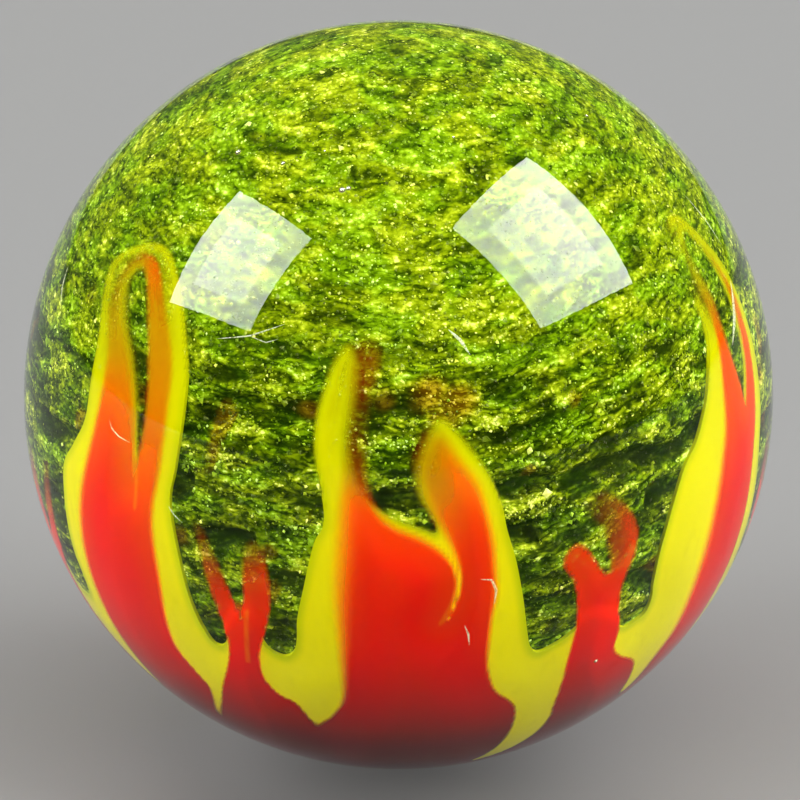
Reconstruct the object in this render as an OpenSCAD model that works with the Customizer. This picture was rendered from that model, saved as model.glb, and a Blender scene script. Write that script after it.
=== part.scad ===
// Glass marble: a green sparkle core, red flames edged with yellow round its foot, and a clear glass coat.
// Origin at the ball's centre. +Z is the way the flames rise. -Y is the front.

/* [Ball] */
// Diameter of the finished ball
ball_d = 38; // [25:0.5:51]
// Clear glass between the flames and the outside of the ball
clear_t = 1.2; // [0.5:0.1:2.5]

/* [Beds] */
// Depth of the gaps between the beds of flakes in the green core
bed_depth = 0.9; // [0.4:0.1:1.2]
// Height from one gap to the next
bed_pitch = 3.3; // [2.5:0.1:4.5]
// Width of a gap's mouth at the core's surface
gap_mouth = 1.4; // [0.8:0.1:2]

/* [Flames] */
// Thickness of the yellow glass on the green core
yellow_t = 0.6; // [0.3:0.1:1]
// Thickness of the red glass over the yellow
red_t = 0.5; // [0.3:0.1:1]
// Latitude of the yellow skirt's edge between two flames, in degrees
skirt_lat = -27; // [-31:1:-25]
// Latitude of the red cap's edge round the foot, in degrees
cap_lat = -64; // [-65:1:-60]
// Height of every flame above the skirt, as a share of the height in the outlines
flame_rise = 1; // [0.8:0.05:1.1]
// Turn of all the flames about the ball's axis, in degrees
flame_turn = 0; // [0:5:355]

/* [Hidden] */
$fn = 96;

ball_r = ball_d / 2;
red_r = ball_r - clear_t;
yellow_r = red_r - red_t;
core_r = yellow_r - yellow_t;
// Heights of the lowest and the highest gap that the core may have, clear of the skirt and of the top
lowest_gap = yellow_r * sin(skirt_lat) + 2 * gap_mouth;
highest_gap = core_r - 1.6 * gap_mouth;
// Tilts of the gaps about X and Y in degrees, from the lowest up, and round again
GAP_TILTS = [[1, -3], [-2, -4], [2, -2], [-1, -5], [3, -3], [0, -6], [-3, -4]];
// The outward cut of a flame starts this share of the core's radius from the axis
cut_from = 0.3;
// Straight segments between two neighbouring points of an outline
outline_steps = 3;

// Outlines are [longitude from the flame's own middle, latitude] in degrees, and are rounded between their points.
// A tall flame that closes in a loop
LOOP_YELLOW = [[-20, -38], [-17, -24], [-17, -17], [-16, -8], [-15, -2], [-12, 2], [-9, 7], [-9, 13],
    [-10, 20], [-13, 26], [-15, 31], [-11, 35], [-3, 37], [5, 32], [11, 22], [12.5, 14], [12, 5], [11, -1],
    [12, -10], [13, -19], [15, -26], [20, -38]];
LOOP_RED = [[-18, -66], [-13, -45], [-12.5, -28], [-11.5, -17], [-10, -9], [-8, -2], [-6, 5], [-5, 12],
    [-6, 19], [-9.5, 25], [-10.5, 30], [-8, 34.5], [-2, 34], [4, 28], [8, 21], [9, 13], [8.5, 4], [7.5, -4],
    [7.5, -15], [6.5, -24], [6.5, -29], [8, -33], [9.5, -37], [8, -41], [4.5, -47], [6, -53], [10, -66]];
LOOP_GAP = [[4, 0], [3.5, 6], [2, 13], [-1, 19], [-6, 25], [-8.5, 30], [-6, 33], [-2, 30.5], [2.5, 23],
    [5, 16], [5.5, 9], [4.5, 4]];
// Two thin tips side by side, on a low yellow mound
TWIN_YELLOW = [[-13, -38], [-7, -29], [-4, -24], [-1, -20], [0, -19], [1.5, -21], [3, -25], [7, -29],
    [10, -38]];
TWIN_RED = [[-22, -66], [-18.5, -50], [-17, -46.5], [-12.5, -41], [-9, -35.5], [-6, -30.5], [-4, -25],
    [-5, -19], [-6, -12], [-7, -4], [-4.5, -9], [-2, -16], [-0.5, -19.5], [0, -17], [1.5, -10], [3, -5],
    [4.5, -9], [4.5, -16], [3, -22], [1.5, -26], [1, -31], [3, -35], [6, -37], [7.5, -41], [8.5, -45],
    [12, -66]];
// A broad flame with two tips
FORK_YELLOW = [[-26, -38], [-21.5, -24], [-20.5, -18], [-19, -12], [-17, -4], [-15.5, -1], [-15.5, 3],
    [-16.5, 10], [-16.5, 15], [-15.5, 20], [-13, 26], [-10, 29], [-8.5, 25], [-9.5, 19], [-11, 14],
    [-11, 9], [-9.5, 3.5], [-6, 1], [-3, -0.5], [0, -2.5], [2, -3], [3, -1], [3, 1.5], [2, 4.5], [0.5, 8],
    [-1, 12], [0, 16], [3, 15], [5, 13], [8, 10], [10.5, 7], [12, 3.5], [13, -2], [14.5, -7], [16, -14],
    [18.5, -24], [24, -38]];
FORK_RED = [[-26, -66], [-22, -46], [-17, -39.5], [-13.5, -34], [-12, -23], [-10.5, -14.5], [-10, -6],
    [-11, 0.5], [-11.5, 4.5], [-12.1, 9], [-11.9, 14.5], [-11.7, 19], [-11.5, 24], [-11, 27.2], [-9.6, 28],
    [-7.9, 27], [-7.6, 24.5], [-8.4, 21], [-9.1, 17.5], [-9.5, 14], [-9.3, 9.5], [-9, 5.5], [-8.3, 2],
    [-6.5, -1], [-3, -3], [0.5, -5], [3.5, -7.5], [5, -10], [4.5, -14], [3.5, -17.5], [5.5, -14],
    [6.5, -10], [6, -5], [4, -1], [2, 3], [0.2, 7], [-1.2, 11], [-0.5, 14.5], [2.8, 14], [5.2, 10.5],
    [7.5, 6], [9.2, 1], [10, -4], [10.5, -10.5], [10.5, -18], [11, -25], [12, -29.5], [14, -33.5],
    [17.5, -36.5], [19.5, -39], [21, -43.5], [22, -49], [22, -55.5], [20, -61], [14, -66]];
// A short flame with a knob and a hooked tip, on a low yellow mound
HOOK_YELLOW = [[-15, -38], [-9, -27.5], [-5, -24.5], [-2, -22], [0, -21], [4, -22.5], [8, -25], [13, -25],
    [19, -38]];
HOOK_RED = [[-10, -67], [-2, -58.5], [0.5, -53], [1, -49], [0.5, -44.5], [-1, -40.5], [-2.5, -32.5],
    [-3, -27], [-3, -22], [-3.2, -18.5], [-4, -15], [-5, -12.5], [-6.8, -10], [-6.4, -7.8], [-4.8, -6.8],
    [-3, -8], [-1.2, -10.3], [0.6, -12.8], [2.2, -13.3], [2.1, -11], [1.6, -8.5], [0.8, -5.9],
    [-0.8, -3.3], [-3, -1.2], [-3, 0.8], [-0.5, 1.2], [2.5, -0.7], [5, -3.4], [6.6, -7], [6.5, -11],
    [5.2, -14.5], [5, -17.5], [5.5, -21], [6.5, -24.5], [7, -28.5], [9.5, -31], [14.5, -33.5], [17, -36.5],
    [20.5, -43], [23, -48], [24, -66]];
// A tall flame whose two arms meet in a thin arch
ARCH_YELLOW = [[-20, -38], [-15.5, -23], [-16, -17], [-16, -12], [-15, -7], [-13.5, -2.5], [-11.5, 1.5],
    [-8.5, 4.5], [-6, 8], [-4, 11], [-1.5, 16], [0, 20], [0, 25], [-1, 30], [1, 35], [6, 38], [10, 36.5],
    [13, 31], [15, 26], [15.5, 20], [15.5, 14], [15, 8], [14.5, 3], [13.5, -4], [14.5, -13], [16, -24],
    [20, -38]];
ARCH_RED = [[-14, -66], [-5, -46], [-4.5, -36], [-3.5, -30], [-4, -20], [-3.5, -10], [-2, -1], [-0.5, 5],
    [0.5, 11], [2, 17], [2.5, 22], [2, 27], [4, 31], [8, 34], [11, 30], [13.5, 23], [13, 16], [12.5, 11],
    [11, 4], [9.5, -4], [9.5, -14], [9.5, -22], [9, -30], [10, -42], [12, -66]];
ARCH_GAP = [[8, 3], [6.5, 8], [5, 14], [4.5, 19], [5, 24], [4.5, 28], [5, 33], [8.5, 35], [11, 30],
    [12, 23], [11, 17], [10, 12], [9, 7]];

// Each flame is [kind, longitude of its middle, 1, or -1 if it is mirrored]
FLAMES = [["loop", -49, 1], ["twin", -26, 1], ["fork", 4, 1], ["hook", 34, 1], ["arch", 62, 1], ["twin", 85, -1],
    ["fork", 115, -1], ["hook", 149, -1], ["loop", 169, 1], ["twin", 193, 1], ["fork", 223, 1], ["hook", 253, 1],
    ["twin", 281, -1]];

function yellow_outline(kind) =
    kind == "loop" ? LOOP_YELLOW :
    kind == "twin" ? TWIN_YELLOW :
    kind == "fork" ? FORK_YELLOW :
    kind == "hook" ? HOOK_YELLOW : ARCH_YELLOW;
function red_outline(kind) =
    kind == "loop" ? LOOP_RED :
    kind == "twin" ? TWIN_RED :
    kind == "fork" ? FORK_RED :
    kind == "hook" ? HOOK_RED : ARCH_RED;
function gap_outline(kind) =
    kind == "loop" ? LOOP_GAP :
    kind == "arch" ? ARCH_GAP : [];

// A Catmull-Rom curve between b and c, at t from 0 to 1, with a and d as their other neighbours
function on_curve(a, b, c, d, t) =
    (2 * b + (c - a) * t + (2 * a - 5 * b + 4 * c - d) * t^2 + (3 * b - a - 3 * c + d) * t^3) / 2;
function rounded(p) = [for (i = [0:len(p) - 1], k = [0:outline_steps - 1])
    on_curve(p[(i + len(p) - 1) % len(p)], p[i], p[(i + 1) % len(p)], p[(i + 2) % len(p)], k / outline_steps)];
// Points above the skirt rise with flame_rise, and the skirt follows skirt_lat
function raised(p) = [p[0], p[1] <= skirt_lat ? p[1] : skirt_lat + (p[1] - skirt_lat) * flame_rise];
// The point of the ball's surface at radius r, seen along the flame's own outward direction
function seen(p, r) = r * [cos(p[1]) * sin(p[0]), sin(p[1])];

// Everything outwards of one outline, at longitude 0, which looks along -Y
module outward_cut(outline, r) {
    translate([0, -cut_from * core_r, 0])
        rotate([90, 0, 0])
            linear_extrude(ball_r)
                polygon([for (p = rounded(outline)) seen(raised(p), r)]);
}

module one_cut(outline, gap, r) {
    difference() {
        outward_cut(outline, r);
        if (len(gap) > 0) outward_cut(gap, r);
    }
}

module at_flame(flame) {
    rotate([0, 0, flame[1] + flame_turn])
        mirror([flame[2] < 0 ? 1 : 0, 0, 0])
            children();
}

// Everything below a latitude
module below(lat, r) {
    translate([0, 0, -ball_d])
        cylinder(r = ball_d, h = ball_d + r * sin(lat));
}

module yellow_volume() {
    intersection() {
        sphere(yellow_r);
        union() {
            below(skirt_lat, yellow_r);
            for (f = FLAMES)
                at_flame(f) one_cut(yellow_outline(f[0]), gap_outline(f[0]), yellow_r);
        }
    }
}

module red_volume() {
    intersection() {
        sphere(red_r);
        union() {
            below(cap_lat, red_r);
            for (f = FLAMES)
                at_flame(f) one_cut(red_outline(f[0]), gap_outline(f[0]), red_r);
        }
    }
}

// Every gap's height
function gap_heights() = [for (z = [lowest_gap:bed_pitch:highest_gap]) z];
// A V-shaped ring cut square to the surface, whose middle is at height z
module bed_gap(z) {
    lat = asin(z / core_r);
    out = [cos(lat), sin(lat)];
    along = [-sin(lat), cos(lat)];
    mouth = core_r + bed_depth;
    rotate_extrude()
        polygon([(core_r - bed_depth) * out, mouth * out - gap_mouth * along, mouth * out + gap_mouth * along]);
}

module core_body() {
    heights = gap_heights();
    difference() {
        sphere(core_r);
        for (i = [0:len(heights) - 1])
            rotate([GAP_TILTS[i % len(GAP_TILTS)][0], GAP_TILTS[i % len(GAP_TILTS)][1], 0])
                bed_gap(heights[i]);
    }
}

module green_core() {
    color("olivedrab") core_body();
}

module yellow_flames() {
    color("yellow")
        difference() {
            yellow_volume();
            core_body();
        }
}

module red_flames() {
    color("red")
        difference() {
            red_volume();
            core_body();
            yellow_volume();
        }
}

module clear_casing() {
    color("white", 0.3)
        difference() {
            sphere(ball_r);
            core_body();
            yellow_volume();
            red_volume();
        }
}

clear_casing();
green_core();
yellow_flames();
red_flames();
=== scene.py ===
"""Glass marble: a clear casing over a green sparkle core, with red flames edged in yellow round its foot.

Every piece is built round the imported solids, in metres, with the ball's centre at the origin.
"""

import itertools
import math

import bpy
import numpy as np
from mathutils import Matrix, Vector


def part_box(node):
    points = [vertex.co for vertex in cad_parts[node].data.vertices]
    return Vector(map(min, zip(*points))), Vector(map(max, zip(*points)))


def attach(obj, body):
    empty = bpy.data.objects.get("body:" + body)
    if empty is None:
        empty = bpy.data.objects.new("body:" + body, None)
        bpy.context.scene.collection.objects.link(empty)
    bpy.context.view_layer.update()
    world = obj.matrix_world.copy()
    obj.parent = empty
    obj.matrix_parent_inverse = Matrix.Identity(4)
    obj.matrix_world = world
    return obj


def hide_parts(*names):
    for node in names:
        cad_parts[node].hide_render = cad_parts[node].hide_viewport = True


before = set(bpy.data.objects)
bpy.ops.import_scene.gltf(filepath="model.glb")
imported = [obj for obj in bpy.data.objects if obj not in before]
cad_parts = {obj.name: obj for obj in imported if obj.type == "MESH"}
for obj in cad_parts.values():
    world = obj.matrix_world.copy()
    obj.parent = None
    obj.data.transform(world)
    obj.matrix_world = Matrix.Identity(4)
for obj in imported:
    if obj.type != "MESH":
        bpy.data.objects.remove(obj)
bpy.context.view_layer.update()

bl_info = {
    "name": "Glass Marble",
    "version": (1, 0, 0),
    "blender": (4, 5, 0),
    "location": "View3D > Sidebar > Marble",
    "description": "Builds a glass marble with flames and sparkles round its packed solids",
    "category": "Object",
}

BODY = "root"
MM = 0.001
# Radii of the four layers, in millimetres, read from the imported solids' lowest points
BALL_R = -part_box("clear_casing")[0].z / MM
RED_R = -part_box("red_flames")[0].z / MM
YELLOW_R = -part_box("yellow_flames")[0].z / MM
CORE_R = -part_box("green_core")[0].z / MM

# Outlines of the flames, as in the source of the part. Each point is longitude from the flame's own middle
# and latitude in degrees, then how wide its edge fades in millimetres, then how clear the glass is there. The
# flame keeps a line of colour along its outline unless it is all clear there, at 1.
LOOP_YELLOW = [(-20, -38, .06, 0), (-17, -24, .06, 0), (-17, -17, .06, 0), (-16, -8, .06, 0),
    (-15, -2, .06, 0), (-12, 2, .06, 0), (-9, 7, .08, 0), (-9, 13, .1, 0), (-10, 20, .12, .3),
    (-13, 26, .15, .7), (-15, 31, .2, .85), (-11, 35, .25, .85), (-3, 37, .25, .8), (5, 32, .2, .5),
    (11, 22, .15, .1), (12.5, 14, .06, 0), (12, 5, .06, 0), (11, -1, .06, 0), (12, -10, .06, 0),
    (13, -19, .06, 0), (15, -26, .06, 0), (20, -38, .06, 0)]
LOOP_RED = [(-18, -66, .1, 0), (-13, -45, .5, 0), (-12.5, -28, 1.1, 0), (-11.5, -17, 1.1, 0),
    (-10, -9, 1.1, 0), (-8, -2, 1, 0), (-6, 5, .9, 0), (-5, 12, .8, .15), (-6, 19, .8, .5),
    (-9.5, 25, .7, .75), (-10.5, 30, .6, .8), (-8, 34.5, .4, .6), (-2, 34, .35, .25), (4, 28, .4, .45),
    (8.5, 21, .5, .4), (9.5, 13, .6, .3), (9, 4, .6, .15), (7.5, -4, .6, .05), (7.5, -15, .5, 0),
    (6.5, -24, .35, 0), (6.5, -29, .3, 0), (8, -33, .25, 0), (9.5, -37, .2, 0), (8, -41, .2, 0),
    (4.5, -47, .2, 0), (6, -53, .1, 0), (10, -66, .1, 0)]
LOOP_GAP = [(4, 0, .3, 0), (3.5, 6, .5, 0), (2, 13, 1, 0), (-1, 19, 1.2, 0), (-6, 25, 1.2, 0),
    (-8.5, 30, 1, 0), (-6, 33, .6, 0), (-2, 30.5, .5, 0), (2.5, 23, .5, 0), (5, 16, .5, 0),
    (5.5, 9, .4, 0), (4.5, 4, .3, 0)]
TWIN_YELLOW = [(-13, -38, .06, 0), (-7, -29, .06, 0), (-4, -24, .06, 0), (-1, -20, .1, 0), (0, -19, .1, 0),
    (1.5, -21, .1, 0), (3, -25, .06, 0), (7, -29, .06, 0), (10, -38, .06, 0)]
TWIN_RED = [(-22, -66, .1, 0), (-18.5, -50, .1, 0), (-17, -46.5, .2, 0), (-12.5, -41, .2, 0),
    (-9, -35.5, .2, 0), (-6, -30.5, .2, 0), (-4, -25, .12, 0), (-5, -19, .25, .1), (-6.2, -12, .4, .3),
    (-7.2, -4, .6, .8), (-4.5, -9, .5, .5), (-2, -16, .2, .1), (-.5, -19.5, .15, 0), (0, -17, .15, .05),
    (.8, -11, .35, .25), (1.6, -6.5, .7, .6), (3.6, -6, .7, .6), (4.7, -10, .35, .2), (4.7, -16, .25, .05),
    (3, -22, .15, 0), (1.5, -26, .15, 0), (1, -31, .2, 0), (3, -35, .2, 0), (6, -37, .2, 0),
    (7.5, -41, .2, 0), (8.5, -45, .2, 0), (12, -66, .1, 0)]
FORK_YELLOW = [(-26, -38, .06, 0), (-21.5, -24, .06, 0), (-20.5, -18, .06, 0), (-19, -12, .06, 0),
    (-17, -4, .06, 0), (-15.5, -1, .08, 0), (-15.5, 3, .12, 0), (-16.8, 9, .3, 0), (-17.2, 13, .4, .05),
    (-16.8, 17.2, .5, .15), (-15.9, 20.8, .6, .25), (-14.9, 23.9, .7, .4), (-13.6, 26.2, .8, .6),
    (-12.6, 27, .8, .65), (-11.6, 24.8, 1, .55), (-11.7, 20.5, 1.2, .35), (-12.2, 16.4, 1.2, .2),
    (-12.5, 12.9, 1.2, .15), (-12, 9.4, 1.1, .1), (-11, 6.5, .9, 0), (-9.3, 3.3, .6, 0), (-5.3, .7, .4, 0),
    (-.3, -1.4, .35, 0), (1.8, -2.1, .35, 0), (2, -.4, .4, 0), (.8, 2.2, .6, .05), (-.3, 4.5, .9, .2),
    (-.7, 7.5, 1.1, .4), (.1, 11, 1, .4), (1.5, 14.2, .9, .3), (2.7, 15.8, .9, .35), (4.7, 14.3, .7, .15),
    (7.4, 10.9, .6, .05), (9.9, 7.2, .35, 0), (11.7, 2.9, .15, 0), (12.8, -2, .06, 0), (14.3, -7, .06, 0),
    (16, -14, .06, 0), (18.5, -24, .06, 0), (24, -38, .06, 0)]
FORK_RED = [(-26, -66, .1, 0), (-22, -46, .2, 0), (-17, -39.5, .3, 0), (-14, -34, .5, 0),
    (-13, -23, 1.2, 0), (-12.8, -13, 1.8, 0), (-12.3, -6, 2.2, 0), (-12, -1, 2, 0), (-12, 3.5, 1.6, .1),
    (-12.3, 9, .9, .6), (-11.9, 14.5, .8, .8), (-11.7, 19, .8, .75), (-11.5, 24, .9, .65),
    (-11, 27.2, 1.1, .75), (-9.6, 28, 1.2, .8), (-7.9, 27, 1.1, .75), (-7.6, 24.5, .9, .65),
    (-8.4, 21, .8, .7), (-9.1, 17.5, .8, .85), (-9.5, 14, .8, .85), (-9.4, 9.5, .8, .65),
    (-9.2, 5.5, .8, .3), (-8.2, 2.6, .8, 0),
    (-5.3, -.6, .8, 0), (-.4, -3, .8, 0), (3, -5.6, .5, 0), (4.7, -9, .3, 0), (4.5, -14, .2, 0),
    (3.5, -17.5, .2, 0), (5, -14, .2, 0), (5.8, -10, .3, 0), (4.9, -5.6, .6, 0), (3.6, -2, .9, .05),
    (2.1, 1, 1.2, .15), (.8, 4.2, 1.4, .3), (0, 7.4, 1.6, .4), (-.4, 10.5, 1.7, .5), (.6, 13.2, 1.7, .6),
    (2.8, 12.8, 1.4, .4), (5.2, 9.4, 1.2, .2), (7.8, 5.6, 1.1, .1), (9.2, 1, 1, 0), (10.2, -3.2, .9, 0),
    (10.8, -8, .8, 0), (11.2, -13, .7, 0), (10.8, -18, .5, 0), (11, -25, .4, 0), (12, -29.5, .3, 0),
    (14, -33.5, .25, 0), (17.5, -36.5, .2, 0), (19.5, -39, .2, 0), (21, -43.5, .2, 0), (22, -49, .2, 0),
    (22, -55.5, .2, 0), (20, -61, .1, 0), (14, -66, .1, 0)]
HOOK_YELLOW = [(-15, -38, .06, 0), (-9, -27.5, .06, 0), (-5, -24.5, .06, 0), (-2, -22, .06, 0),
    (0, -21, .06, 0), (4, -22.5, .06, 0), (8, -25, .06, 0), (13, -25, .06, 0), (19, -38, .06, 0)]
HOOK_RED = [(-10, -67, .1, 0), (-2, -58.5, .1, 0), (.5, -53, .15, 0), (1, -49, .15, 0),
    (.5, -44.5, .15, 0), (-1, -40.5, .2, 0), (-2.5, -32.5, .2, 0), (-3, -27, .2, 0), (-3, -22, .2, 0),
    (-3.2, -18.5, .2, 0), (-4, -15, .25, 0), (-5, -12.5, .3, .05), (-6.8, -10, .35, .1),
    (-6.4, -7.8, .4, .15), (-4.8, -6.8, .4, .15), (-3, -8, .35, .1), (-1.2, -10.3, .3, .05),
    (.6, -12.8, .25, 0), (2.2, -13.3, .25, .1), (2.1, -11, .5, .35), (1.6, -8.5, .9, .4),
    (.8, -5.9, 1, .5), (-.8, -3.3, .9, .7), (-3, -1.2, .8, .9), (-3, .8, .7, .9), (-.5, 1.2, .6, .8),
    (2.5, -.7, .5, .5), (5, -3.4, .4, .3), (6.6, -7, .35, .2), (6.5, -11, .3, .15), (5.2, -14.5, .3, .1),
    (5, -17.5, .2, 0), (5.5, -21, .2, 0), (6.5, -24.5, .2, 0), (7, -28.5, .2, 0), (9.5, -31, .2, 0),
    (14.5, -33.5, .2, 0), (17, -36.5, .2, 0), (20.5, -43, .2, 0), (23, -48, .1, 0), (24, -66, .1, 0)]
ARCH_YELLOW = [(-20, -38, .06, 0), (-15.5, -23, .06, 0), (-16, -17, .06, 0), (-16, -12, .06, 0),
    (-15, -7, .06, 0), (-13.5, -2.5, .06, 0), (-11.5, 1.5, .06, 0), (-8.5, 4.5, .06, 0), (-6, 8, .06, 0),
    (-4, 11, .08, 0), (-1.5, 16, .15, 0), (0, 20, .3, .2), (0, 25, .6, .95), (-1, 30, .4, 1),
    (1, 35, .4, 1), (6, 38, .3, .9), (10, 36.5, .2, .75), (13, 31, .12, .6), (15, 26, .08, .3),
    (15.5, 20, .06, 0), (15.5, 14, .06, 0), (15, 8, .06, 0), (14.5, 3, .06, 0), (13.5, -4, .06, 0),
    (14.5, -13, .06, 0), (16, -24, .06, 0), (20, -38, .06, 0)]
ARCH_RED = [(-14, -66, .1, 0), (-5, -46, .2, 0), (-4.5, -36, .8, 0), (-3.5, -30, 1, 0), (-4, -20, 1.3, 0),
    (-3.5, -10, 1.3, 0), (-2, -1, 1.1, 0), (-.5, 5, .8, 0), (.5, 11, .6, 0), (2, 17, .4, .1),
    (2.5, 22, .4, .4), (2, 27, .5, .9), (4, 31, .6, 1), (8, 34, .5, .9), (11, 30, .4, .6),
    (13.5, 23, .3, .35), (13.3, 16, .3, .15), (12.5, 11, .3, .05), (11, 4, .4, 0), (9.5, -4, .5, 0),
    (9.5, -14, .5, 0), (9.5, -22, .4, 0), (9, -30, .3, 0), (10, -42, .2, 0), (12, -66, .1, 0)]
ARCH_GAP = [(7.3, 5.5, .3, 0), (6.3, 9, .3, 0), (5, 14, .4, 0), (4.5, 19, .5, 0), (5, 24, .6, 0),
    (4.5, 28, .8, 0), (5, 33, .5, 0), (8.5, 35, .5, 0), (11, 30, .4, 0), (12, 23, .3, 0),
    (11.3, 17, .3, 0), (10.2, 12, .3, 0), (8.6, 8, .3, 0)]
# A flame's yellow outline, red outline and gap
KINDS = {
    "loop": (LOOP_YELLOW, LOOP_RED, LOOP_GAP),
    "twin": (TWIN_YELLOW, TWIN_RED, None),
    "fork": (FORK_YELLOW, FORK_RED, None),
    "hook": (HOOK_YELLOW, HOOK_RED, None),
    "arch": (ARCH_YELLOW, ARCH_RED, ARCH_GAP),
}
# Each flame is its kind, the longitude of its middle, and 1, or -1 if it is mirrored
FLAMES = [("loop", -49, 1), ("twin", -26, 1), ("fork", 4, 1), ("hook", 34, 1), ("arch", 62, 1),
          ("twin", 85, -1), ("fork", 115, -1), ("hook", 149, -1), ("loop", 169, 1), ("twin", 193, 1),
          ("fork", 223, 1), ("hook", 253, 1), ("twin", 281, -1)]
SKIRT_LAT = -27
CAP_LAT = -64

# The core's main gaps, as in the source of the part: the height from one to the next and the width of their
# mouths in millimetres, and their tilts about X and Y in degrees
BED_PITCH = 3.3
GAP_MOUTH = 1.4
LOWEST_GAP = YELLOW_R * math.sin(math.radians(SKIRT_LAT)) + 2 * GAP_MOUTH
GAP_TILTS = [(1, -3), (-2, -4), (2, -2), (-1, -5), (3, -3), (0, -6)]

# Amber patches, and bright clusters of the core's flakes with painted glints: longitude, latitude,
# half-width, half-height in millimetres, and strength
AMBER = [(5.2, 19.9, .9, .9, 1), (9.6, 18.6, 1.0, .8, 1), (7.5, 16.2, .9, .6, .9), (-14.8, 17, .6, .4, 1),
         (-2.4, 19.2, .5, .5, .8), (-38, -7, .8, .5, .8), (58, -3, 1.1, .6, .7)]
GLEAMS = [(12, 25, 1.5, .16, 1.3), (-3.6, 12.6, 1.8, .3, .9), (14.3, 13.9, .7, .5, .7),
          (20.8, .7, 1.4, .35, .9), (-14.2, -2.1, 1.2, .3, .8), (21.4, 8.5, .9, .4, .7),
          (21.5, .8, 1.5, .7, .8), (34.7, 3, .9, .3, .9), (27.8, -14.3, .6, .5, .9),
          (25.7, -18.3, .6, .5, .8), (43.3, -19.8, .8, .3, .8), (-27.7, 13.9, .9, .8, 1.2),
          (-35, 5.5, .6, .4, .9), (-17.6, -13.6, .6, .4, 1.2), (-37, -13.5, .5, .7, .9),
          (54.7, 15.6, 1, .9, .9), (46, 23.7, .9, .5, .8), (-29, 8, .8, .4, .8), (150, 20, 1.2, .4, 1),
          (110, 5, .9, .5, .9), (-120, 15, 1.1, .5, 1), (-150, -5, .9, .4, .9), (-95, 30, 1, .5, 1),
          (190, 35, 1.2, .4, 1)]

# Orange threads in the red glass: longitude and latitude of points along each one
THREADS = [
    [(-25.3, -17.7), (-26.0, -22.4), (-27.0, -28.0)],
    [(6.2, -1.4), (8.9, -5.6), (9.6, -9.0), (8.0, -14.6), (6.7, -17.4)],
    [(-45.3, 9), (-44.7, 5.9), (-44.4, 1.3), (-44.6, -3.6)],
]
# Bubbles in the clear glass: longitude, latitude, radius in millimetres
BUBBLES = [(-45.8, 54.6, .16), (-30.9, 54.6, .12), (-13.3, 51.2, .17), (-11.9, 51.6, .13), (36.0, -28.8, .12),
           (-21, 58, .07), (17, 61, .08), (95, 47, .14), (141, 38, .11), (-128, 52, .15), (-164, 33, .1),
           (-97, 21, .09), (204, 60, .12), (68, 58, .1)]
# Bruises and fine scars just under the surface, and pale strips near the sides at longitudes about 70 each
# way, which are painted reflections: width in millimetres, then longitude and latitude of points
SCARS_AND_REFLECTIONS = [
    (.16, [(8.1, 29.1), (9.9, 27.5), (11.3, 25.3)]),
    (.07, [(-30.2, 25.6), (-24.5, 26.8), (-18.7, 29.2)]),
    (.05, [(-24.5, 26.8), (-21.5, 26.2), (-19.5, 26.9)]),
    (.06, [(-35.5, 0.0), (-34.3, -1.3), (-32.9, -2.2)]),
    (.07, [(-48.1, 9.9), (-47.3, 8.8), (-45.6, 8.0), (-43.1, 7.7)]),
    (.12, [(11.8, -7.9), (13.6, -8.2), (14.4, -10.0), (14.2, -12.4)]),
    (.1, [(9.9, -15.7), (10.6, -17.4), (10.9, -19.6)]),
    # Painted reflections: these three strips near the sides
    (.3, [(71.4, 24.9), (67.7, 20.4), (63.9, 16.8)]),
    (.14, [(-73.5, 26.8), (-72.3, 23.9), (-69.7, 21.2)]),
    (.1, [(72.8, 39.5), (74.4, 34.3), (75.0, 29.7)]),
    (.08, [(131, 12), (134, 9), (135, 5)]),
    (.07, [(-112, 31), (-107, 33), (-102, 33)]),
]

# Fields


def hashed(cells, seed):
    """A random number between 0 and 1 for each whole-number cell: its three numbers are multiplied by large
    primes, mixed bit by bit, and the low bits are scaled."""
    mixed = cells[..., 0] * 73856093 ^ cells[..., 1] * 19349663 ^ cells[..., 2] * 83492791 ^ seed * 2654435761
    mixed = (mixed & 0xFFFFFFFF).astype(np.uint64)
    for shift, factor in ((16, 0x7FEB352D), (15, 0x846CA68B)):
        mixed = ((mixed ^ (mixed >> np.uint64(shift))) * np.uint64(factor)) & np.uint64(0xFFFFFFFF)
    return (mixed ^ (mixed >> np.uint64(16))).astype(float) / 0xFFFFFFFF


def noise(points, seed):
    """Smooth noise between 0 and 1: each point blends the random numbers of the eight cell corners round it,
    with weights t * t * (3 - 2 * t) of its place t in the cell."""
    cell = np.floor(points)
    place = points - cell
    place = place * place * (3 - 2 * place)
    cell = cell.astype(np.int64)
    total = np.zeros(len(points))
    for corner in itertools.product((0, 1), repeat=3):
        weight = np.prod(np.where(corner, place, 1 - place), axis=1)
        total += weight * hashed(cell + corner, seed)
    return total


def fractal(points, seed, octaves):
    """Noise plus half as much noise twice as fine, and so on, scaled back to between 0 and 1."""
    total = sum(noise(points * 2 ** k, seed + k) / 2 ** k for k in range(octaves))
    return total / (2 - 0.5 ** (octaves - 1))


def evened(values):
    """The same numbers with a mean of 0 and a spread of 1."""
    return (values - values.mean()) / values.std()


def smoothstep(low, high, value):
    """0 below low, 1 above high, and t * t * (3 - 2 * t) between them."""
    t = np.clip((value - low) / (high - low), 0, 1)
    return t * t * (3 - 2 * t)


def on_ball(lon, lat, radius):
    """Points in millimetres: longitude 0 is the front, -Y, and grows to +X; latitude grows to +Z."""
    lon = np.radians(lon)
    lat = np.radians(lat)
    flat = np.cos(lat) * radius
    return np.stack([flat * np.sin(lon), -flat * np.cos(lon), np.sin(lat) * radius + 0 * lon], axis=-1)


def angles(points):
    """Longitude and latitude in degrees of points in millimetres."""
    radius = np.linalg.norm(points, axis=1)
    return np.degrees(np.arctan2(points[:, 0], -points[:, 1])), np.degrees(np.arcsin(points[:, 2] / radius))


# The green core

# Latitude below which the skirt hides the core, and the step of the core's rows above it, in degrees
CORE_FOOT = -31
CORE_STEP = 0.7
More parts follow.
